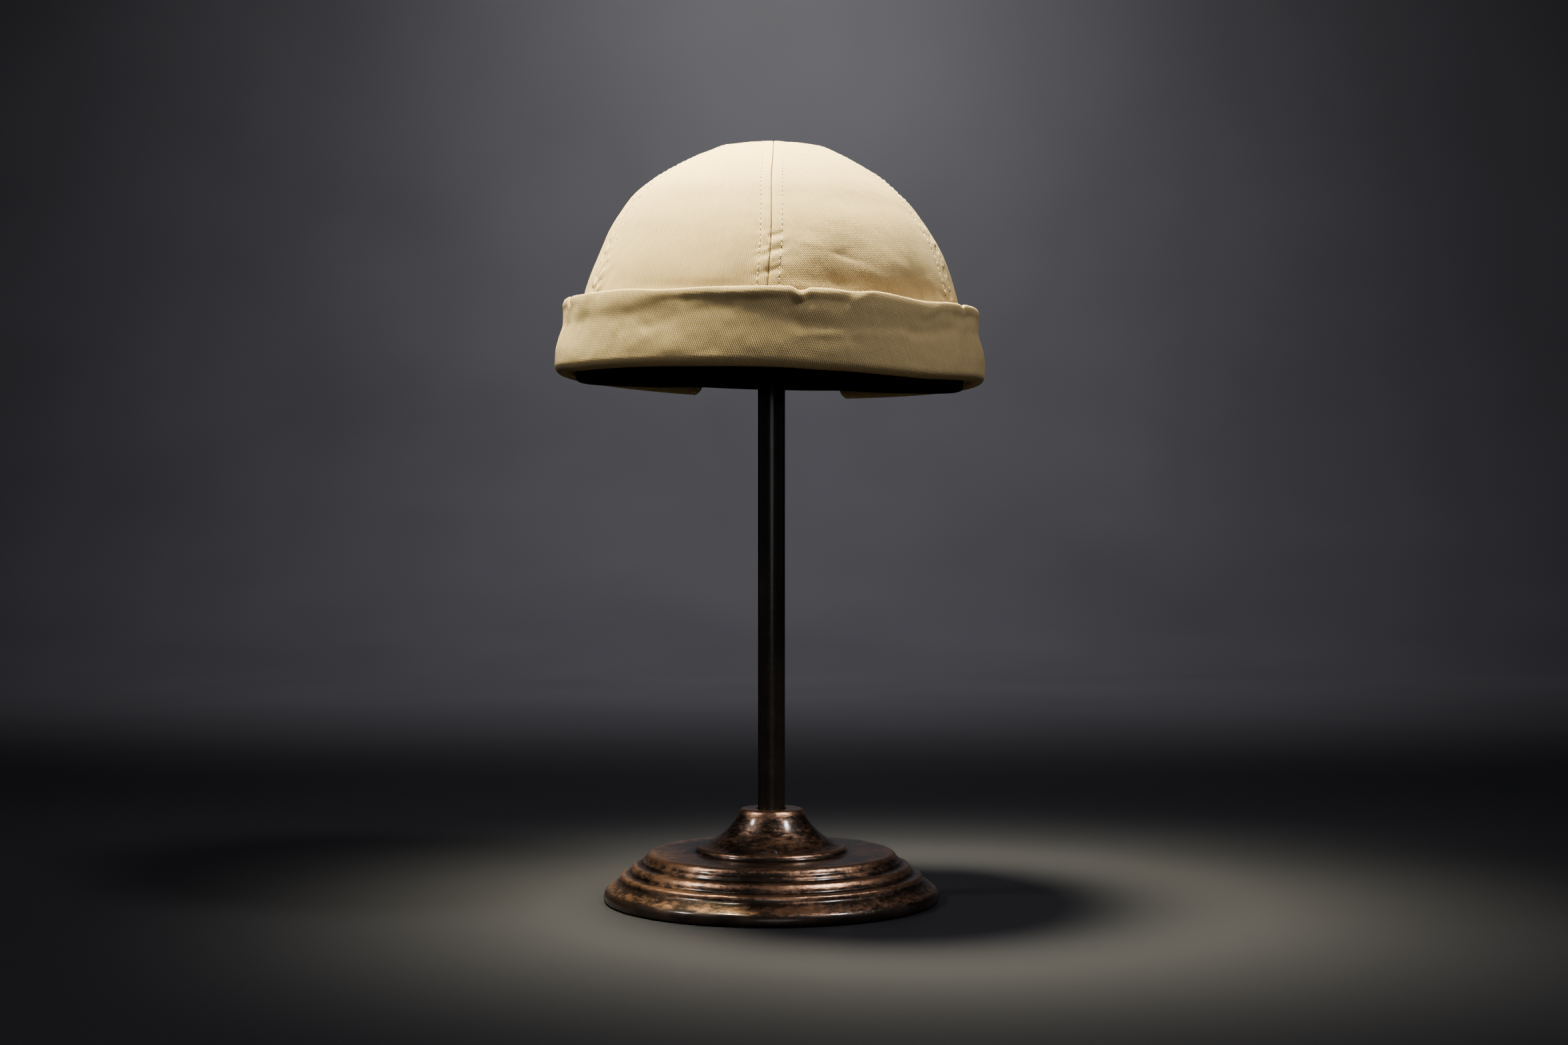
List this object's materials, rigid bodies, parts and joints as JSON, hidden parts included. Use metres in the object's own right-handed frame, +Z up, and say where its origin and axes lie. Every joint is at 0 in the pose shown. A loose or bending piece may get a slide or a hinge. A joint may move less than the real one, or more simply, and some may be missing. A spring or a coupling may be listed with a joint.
{
  "type": "brimless sailor cap on a display stand",
  "caption": "Brimless soft cap with a gored dome crown and a turned-up cuff that is open at the back, hung on a thin pole with a stepped round base.",
  "frame": {"origin": "the middle of the stand's underside, on the surface that it stands on", "axes": "+Z up along the pole, the front of the cap towards -Y, +X to the right as seen from the front"},
  "size_m": [0.1996, 0.2074, 0.349],
  "materials": {
    "cotton_twill": "khaki cotton twill, matt, with a fine diagonal rib",
    "band_cloth": "near-black woven band, matt",
    "strap_twill": "khaki cotton twill, matt",
    "bronze_lacquer": "dark bronze lacquer with copper rubbed through, glossy"
  },
  "bodies": {
    "root": {"panel_front_left": "cotton_twill", "panel_front_right": "cotton_twill", "panel_side_left": "cotton_twill", "panel_side_right": "cotton_twill", "panel_back_left": "cotton_twill", "panel_back_right": "cotton_twill", "cuff": "cotton_twill", "sweatband": "band_cloth", "back_strap": "strap_twill", "stand_base": "bronze_lacquer", "stand_pole": "bronze_lacquer", "stand_seat": "bronze_lacquer"}
  },
  "joints": []
}
